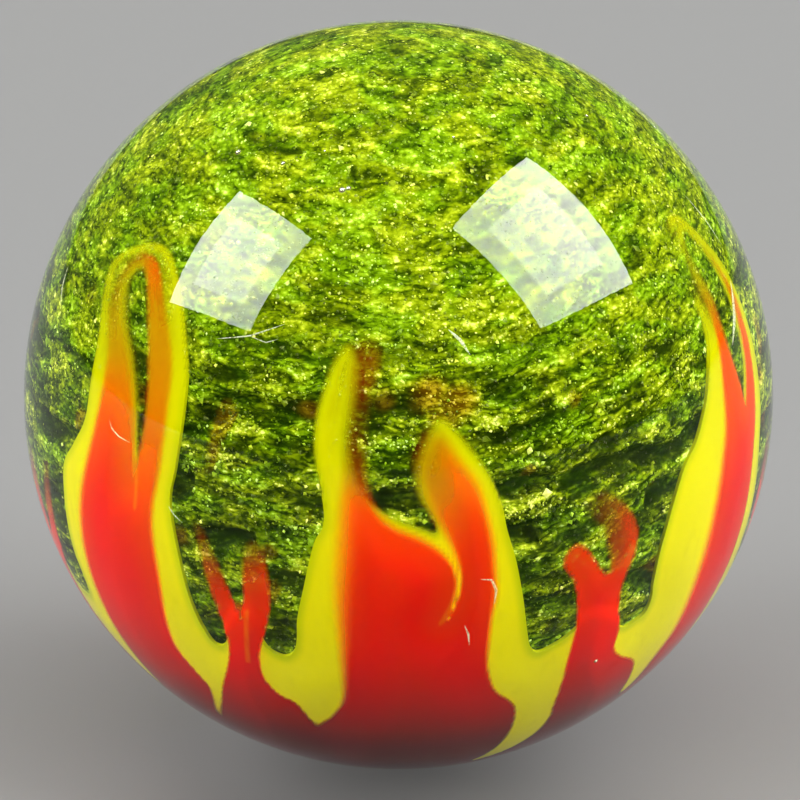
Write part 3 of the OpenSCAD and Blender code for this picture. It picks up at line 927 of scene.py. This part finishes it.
class MARBLE_OT_casing(bpy.types.Operator):
    """Makes the clear casing as one smooth solid ball of glass"""

    bl_idname = "marble.casing"
    bl_label = "Clear casing"

    def execute(self, context):
        sizes = context.scene.marble_sizes
        rows = 100
        latitudes = np.arange(1, rows) * 180 / rows - 90
        lon, lat, faces = ball_grid(latitudes, 2 * rows)
        add_piece("clear_ball", on_ball(lon, lat, sizes.ball_r), faces, clear_glass(), "clear_glass",
                  ["clear_casing"])
        return {"FINISHED"}


class MARBLE_OT_core(bpy.types.Operator):
    """Makes the green core, whose surface sinks into the gaps between its beds of flakes"""

    bl_idname = "marble.core"
    bl_label = "Green core"

    def execute(self, context):
        sizes, colours = context.scene.marble_sizes, context.scene.marble_colours
        latitudes = np.concatenate([np.arange(-86, -34, COARSE), np.arange(CORE_FOOT, 90, CORE_STEP)])
        lon, lat, faces = ball_grid(latitudes, int(360 / CORE_STEP))
        height, bright, gold, gleam, level = core_facts(on_ball(lon, lat, sizes.core_r))
        height = np.where(lat < CORE_FOOT, 1, height)
        radius = sizes.core_r - sizes.gap_depth * (1 - height)
        add_piece("green_beds", on_ball(lon, lat, radius), faces, green_core_glass(colours),
                  "green_sparkle_glass", ["green_core"], bright=bright, gold=gold, gleam=gleam, level=level)
        return {"FINISHED"}


def grain_cloud(centres, normals, sizes, rng):
    """Crushed grains: eight-sided, with four corners round each centre, at right angles to its normal, and
    one corner half as far above it and below it, each at its own distance."""
    count = len(centres)
    side = np.cross(normals, rng.normal(size=normals.shape))
    side /= np.linalg.norm(side, axis=1, keepdims=True)
    other = np.cross(normals, side)
    ways = np.stack([side, other, -side, -other, 0.5 * normals, -0.5 * normals], axis=1)
    reach = sizes[:, None] * rng.uniform(0.6, 1.25, (count, 6))
    points = centres[:, None] + ways * reach[..., None]
    around = np.arange(4)
    after = (around + 1) % 4
    above, below = np.full(4, 4), np.full(4, 5)
    pattern = np.concatenate([np.stack([around, after, above], 1), np.stack([after, around, below], 1)])
    faces = (np.arange(count) * 6)[:, None, None] + pattern
    return points.reshape(-1, 3), faces.reshape(-1, 3)


# Names of the pieces of grains, the brightness below which each takes its grains, and its roughness
GRAIN_KINDS = [("dull_grains", 0.2, 0.45), ("lime_grains", 1.2, 0.4), ("bright_grains", 99, 0.3)]
# Grains tried over the whole ball, the most that one piece takes, and the cover above which flames hide them
GRAIN_TRIES = 150000
MOST_GRAINS = 22000
HIDING_COVER = 0.97


class MARBLE_OT_grains(bpy.types.Operator):
    """Scatters crushed grains of three kinds over the beds of the core"""

    bl_idname = "marble.grains"
    bl_label = "Grains"

    def execute(self, context):
        sizes, colours = context.scene.marble_sizes, context.scene.marble_colours
        rng = np.random.default_rng(7)
        way = rng.normal(size=(GRAIN_TRIES, 3))
        way /= np.linalg.norm(way, axis=1, keepdims=True)
        lon, lat = angles(way)
        way = way[(cover_at(lon, lat, (sizes.yellow_r, sizes.red_r)) < HIDING_COVER) & (lat > CORE_FOOT)]
        facts = core_facts(way * sizes.core_r)
        height, bright, _, gleam, _ = facts
        likely = (0.15 + 0.5 * height) * (0.6 + 0.4 * smoothstep(-0.5, 1.5, bright)) + gleam
        kept = rng.random(len(way)) < likely
        way = way[kept]
        height, bright, gold, gleam, _ = (fact[kept] for fact in facts)
        count = len(way)
        floating = rng.random(count) ** 3 * sizes.gap_depth * (1 - height)
        radius = sizes.core_r - sizes.gap_depth * (1 - height) + floating + rng.uniform(-0.04, 0.02, count)
        normals = way + rng.normal(scale=0.4, size=(count, 3))
        normals /= np.linalg.norm(normals, axis=1, keepdims=True)
        # Painted glints: some grains are painted pale, over the real glints of their facets
        sparks = rng.random(count) < 0.08 + 0.25 * gleam
        size = sizes.grain_size * rng.lognormal(0, 0.4, count)
        shade = 0.8 * bright + rng.normal(scale=0.5, size=count) + 1.7 * sparks + 0.2
        golden = gold * (rng.random(count) < 0.9)
        low = -99
        for name, high, rough in GRAIN_KINDS:
            chosen = np.flatnonzero((shade >= low) & (shade < high))
            chosen = chosen[:MOST_GRAINS]
            low = high
            points, faces = grain_cloud((way * radius[:, None])[chosen], normals[chosen], size[chosen], rng)
            add_piece(name, points, faces, grain_glass(name, colours, rough), "green_sparkle_glass",
                      smooth=False, bright=np.repeat(shade[chosen], 6), gold=np.repeat(golden[chosen], 6))
        return {"FINISHED"}


class MARBLE_OT_yellow(bpy.types.Operator):
    """Makes the yellow glass: the skirt round the foot and the tongues and borders of the flames"""

    bl_idname = "marble.yellow"
    bl_label = "Yellow glass"

    def execute(self, context):
        sizes, colours = context.scene.marble_sizes, context.scene.marble_colours
        faces, lon, lat, edge, cover, _ = flame_sheet(0, sizes.yellow_r)
        outer = on_ball(lon, lat, yellow_top(edge, sizes))
        inner = on_ball(lon, lat, sizes.core_r + 0.02)
        points, faces, sharp = closed_sheet(outer, inner, faces)
        add_piece("yellow_tongues", points, faces, yellow_glass(colours), "yellow_glass", ["yellow_flames"],
                  sharp=sharp, edge=np.tile(edge, 2), cover=np.tile(cover, 2),
                  rise=np.tile(smoothstep(*YELLOW_TURNS, lat), 2))
        return {"FINISHED"}


class MARBLE_OT_red(bpy.types.Operator):
    """Makes the red glass over the yellow: the cap round the foot and the middles of the flames"""

    bl_idname = "marble.red"
    bl_label = "Red glass"

    def execute(self, context):
        sizes, colours = context.scene.marble_sizes, context.scene.marble_colours
        faces, lon, lat, edge, cover, clear = flame_sheet(1, sizes.red_r)
        under, soft, _ = flame_field(lon, lat, 0, sizes.yellow_r)
        on_yellow = smoothstep(-0.8, 0, under + soft / 2)
        base = sizes.core_r + 0.03 + (yellow_top(under, sizes) - sizes.core_r) * on_yellow
        thick = sizes.red_r - sizes.yellow_r - 0.03
        outer = on_ball(lon, lat, base + thick * (0.25 + 0.75 * smoothstep(0, 3, edge)))
        points, faces, sharp = closed_sheet(outer, on_ball(lon, lat, base), faces)
        near_edge = smoothstep(1.8, 0.2, edge) * smoothstep(-30, -10, lat)
        warm = np.clip(0.4 * near_edge + 0.7 * smoothstep(*RED_TURNS, lat), 0, 1)
        # deep is painted shade, darker towards the foot
        facts = {"cover": cover, "clear": clear, "deep": smoothstep(*RED_SHADE_LATS, lat), "warm": warm,
                 "thread": closest_thread(lon, lat, sizes.red_r)}
        add_piece("red_tongues", points, faces, red_glass(colours), "red_glass", ["red_flames"], sharp=sharp,
                  **{fact: np.tile(values, 2) for fact, values in facts.items()})
        return {"FINISHED"}


class MARBLE_OT_marks(bpy.types.Operator):
    """Makes the bubbles in the clear glass, the bruises and scars just under its surface, and painted
    reflections near its sides
    """

    bl_idname = "marble.marks"
    bl_label = "Marks"

    def execute(self, context):
        sizes = context.scene.marble_sizes
        lon, lat, bubble = np.array(BUBBLES).T
        centres = on_ball(lon, lat, sizes.red_r + 0.4)
        ball_lon, ball_lat, ball_faces = ball_grid(np.arange(1, 12) * 15 - 90, 24)
        round_points = on_ball(ball_lon, ball_lat, 1)
        points = centres[:, None] + round_points[None] * bubble[:, None, None]
        faces = ball_faces[None] + (np.arange(len(centres)) * len(round_points))[:, None, None]
        add_piece("bubbles", points.reshape(-1, 3), faces.reshape(-1, 3), bubble_glass(), "clear_glass")
        # Bruises and scars, and painted reflections near the sides
        points, faces = ribbons(SCARS_AND_REFLECTIONS, sizes.ball_r - 0.12, 0.02)
        add_piece("scars", points, faces, scar_and_reflection_glass(), "clear_glass")
        return {"FINISHED"}


# Stage

# The camera's height above level in degrees, its distance in radii of the ball, and its sensor in millimetres
CAMERA_LIFT = 20
CAMERA_FAR = 12
SENSOR = 36
# The frame's width, the ball's radius and the ball's centre in it, in pixels
FRAME_PX = 800
BALL_PX = 374.8
CENTRE_PX = (398.5, 394.7)
# The two softboxes: the way to each as the camera sees it, right, up and towards it, its side as a share of
# its distance, and its turn in degrees
SOFTBOXES = [("left", (-0.698, 0.577, 0.424), 0.55, -10), ("right", (0.635, 0.66, 0.402), 0.69, 15)]
BOX_FAR = 0.62
# For each layer of a softbox: its share of the side, its glow, and whether it shows only in reflections. Each
# stands a little nearer than the one before
BOX_LAYERS = [(1, 5, False), (1, 22, True), (0.6, 12, True)]
LAYER_STEP = 0.003
# Lamps that don't show in reflections: the way to each in the row's frame, its distance, width and height in
# metres, and its glow
FILLS = [("left", (-0.92, -0.4, 0.06), 0.7, 0.5, 0.3, 11), ("right", (0.92, -0.4, 0.06), 0.7, 0.5, 0.3, 11),
         ("top", (0, -0.1, 1), 0.7, 0.5, 0.3, 4.5), ("back", (0, 1, 0.4), 0.7, 0.5, 0.3, 6.5)]
ROOM_GLOW = 0.08
# Colour of the floor as it lights the ball, and as it is seen
FLOOR_BELOW, FLOOR_SEEN = (0.13, 0.13, 0.13), (0.26, 0.26, 0.255)
FLOOR_HALF = 3


def from_camera(way):
    """A direction given as right, up and towards the camera, in the row's frame."""
    lift = math.radians(CAMERA_LIFT)
    right, up, near = way
    return np.array([right, -near * math.cos(lift) + up * math.sin(lift),
                     near * math.sin(lift) + up * math.cos(lift)])


class MARBLE_OT_stage(bpy.types.Operator):
    """Sets the camera, the softboxes and the fill lamps, the floor and the world"""

    bl_idname = "marble.stage"
    bl_label = "Stage"

    def execute(self, context):
        scene = context.scene
        ball_r = scene.marble_sizes.ball_r * MM
        self.camera(scene, ball_r)
        for name, way, side, turn in SOFTBOXES:
            for number, (share, glow, shine) in enumerate(BOX_LAYERS):
                size = side * share * BOX_FAR
                lamp = self.lamp(scene, "softbox_%s_%d" % (name, number), from_camera(way),
                                 BOX_FAR - LAYER_STEP * number, size, size, glow, math.radians(turn))
                lamp.visible_diffuse = not shine
        for name, way, far, wide, high, glow in FILLS:
            lamp = self.lamp(scene, name + "_fill", np.array(way), far, wide, high, glow, 0)
            lamp.visible_glossy = False
            lamp.visible_camera = False
        self.floor(scene, ball_r)
        self.world(scene)
        scene.view_settings.view_transform = "Standard"
        return {"FINISHED"}

    def camera(self, scene, ball_r):
        """The ball's outline is seen at the arcsine of its radius over its distance, which sets the lens."""
        data = bpy.data.cameras.new("camera")
        eye = bpy.data.objects.new("camera", data)
        scene.collection.objects.link(eye)
        lift = math.radians(CAMERA_LIFT)
        eye.location = (0, -ball_r * CAMERA_FAR * math.cos(lift), ball_r * CAMERA_FAR * math.sin(lift))
        eye.rotation_euler = (math.pi / 2 - lift, 0, 0)
        rim = 1 / math.sqrt(CAMERA_FAR ** 2 - 1)
        data.sensor_width = SENSOR
        data.lens = SENSOR / 2 / (rim * FRAME_PX / 2 / BALL_PX)
        data.shift_x = (FRAME_PX / 2 - CENTRE_PX[0]) / FRAME_PX
        data.shift_y = -(FRAME_PX / 2 - CENTRE_PX[1]) / FRAME_PX
        data.clip_start = 0.01
        scene.camera = eye

    def lamp(self, scene, name, way, far, wide, high, glow, turn):
        """An oblong lamp that faces the ball, with its upper edge level with the camera's, then turned."""
        data = bpy.data.lights.new(name, "AREA")
        data.shape = "RECTANGLE"
        data.size = wide
        data.size_y = high
        data.energy = glow * math.pi * wide * high
        lamp = bpy.data.objects.new(name, data)
        scene.collection.objects.link(lamp)
        way = way / np.linalg.norm(way)
        across = np.cross(from_camera((0, 1, 0)), way)
        across /= np.linalg.norm(across)
        up = np.cross(way, across)
        lamp.location = way * far
        lamp.rotation_euler = Matrix(np.stack([across, up, way], axis=1).tolist()).to_euler()
        lamp.rotation_euler.rotate_axis("Z", turn)
        return lamp

    def floor(self, scene, ball_r):
        """A pale plain floor under the ball. The light that it sends up is that of a darker one."""
        mesh = bpy.data.meshes.new("floor")
        ends = ((-1, -1), (1, -1), (1, 1), (-1, 1))
        corners = [(FLOOR_HALF * x, FLOOR_HALF * y, -ball_r) for x, y in ends]
        mesh.from_pydata(corners, [], [(0, 1, 2, 3)])
        ground = bpy.data.objects.new("floor", mesh)
        scene.collection.objects.link(ground)
        finish = Finish("pale_floor", Roughness=0.8, Specular_IOR_Level=0.0)
        seen = finish.rays("Camera", "Glossy", "Transmission")
        finish.feed("Base Color", finish.blend(seen, FLOOR_BELOW, FLOOR_SEEN))
        mesh.materials.append(finish.material)

    def world(self, scene):
        world = bpy.data.worlds.new("room")
        world.use_nodes = True
        back = world.node_tree.nodes["Background"]
        back.inputs["Color"].default_value = (1, 1, 1, 1)
        back.inputs["Strength"].default_value = ROOM_GLOW
        scene.world = world


class MARBLE_PT_panel(bpy.types.Panel):
    """Lists the marble's steps"""

    bl_idname = "MARBLE_PT_panel"
    bl_label = "Glass marble"
    bl_space_type = "VIEW_3D"
    bl_region_type = "UI"
    bl_category = "Marble"

    def draw(self, context):
        for group in (context.scene.marble_sizes, context.scene.marble_colours):
            for name in group.bl_rna.properties.keys()[2:]:
                self.layout.prop(group, name)
        for step in STEPS:
            self.layout.operator(step.bl_idname)


STEPS = (MARBLE_OT_stage, MARBLE_OT_casing, MARBLE_OT_core, MARBLE_OT_grains, MARBLE_OT_yellow, MARBLE_OT_red,
         MARBLE_OT_marks)
CLASSES = (MarbleSizes, MarbleColours) + STEPS + (MARBLE_PT_panel,)


def register():
    for item in CLASSES:
        bpy.utils.register_class(item)
    bpy.types.Scene.marble_sizes = bpy.props.PointerProperty(type=MarbleSizes)
    bpy.types.Scene.marble_colours = bpy.props.PointerProperty(type=MarbleColours)


def unregister():
    del bpy.types.Scene.marble_sizes
    del bpy.types.Scene.marble_colours
    for item in reversed(CLASSES):
        bpy.utils.unregister_class(item)


def main():
    register()
    bpy.ops.marble.stage()
    bpy.ops.marble.casing()
    bpy.ops.marble.core()
    bpy.ops.marble.grains()
    bpy.ops.marble.yellow()
    bpy.ops.marble.red()
    bpy.ops.marble.marks()


if __name__ == "__main__":
    main()
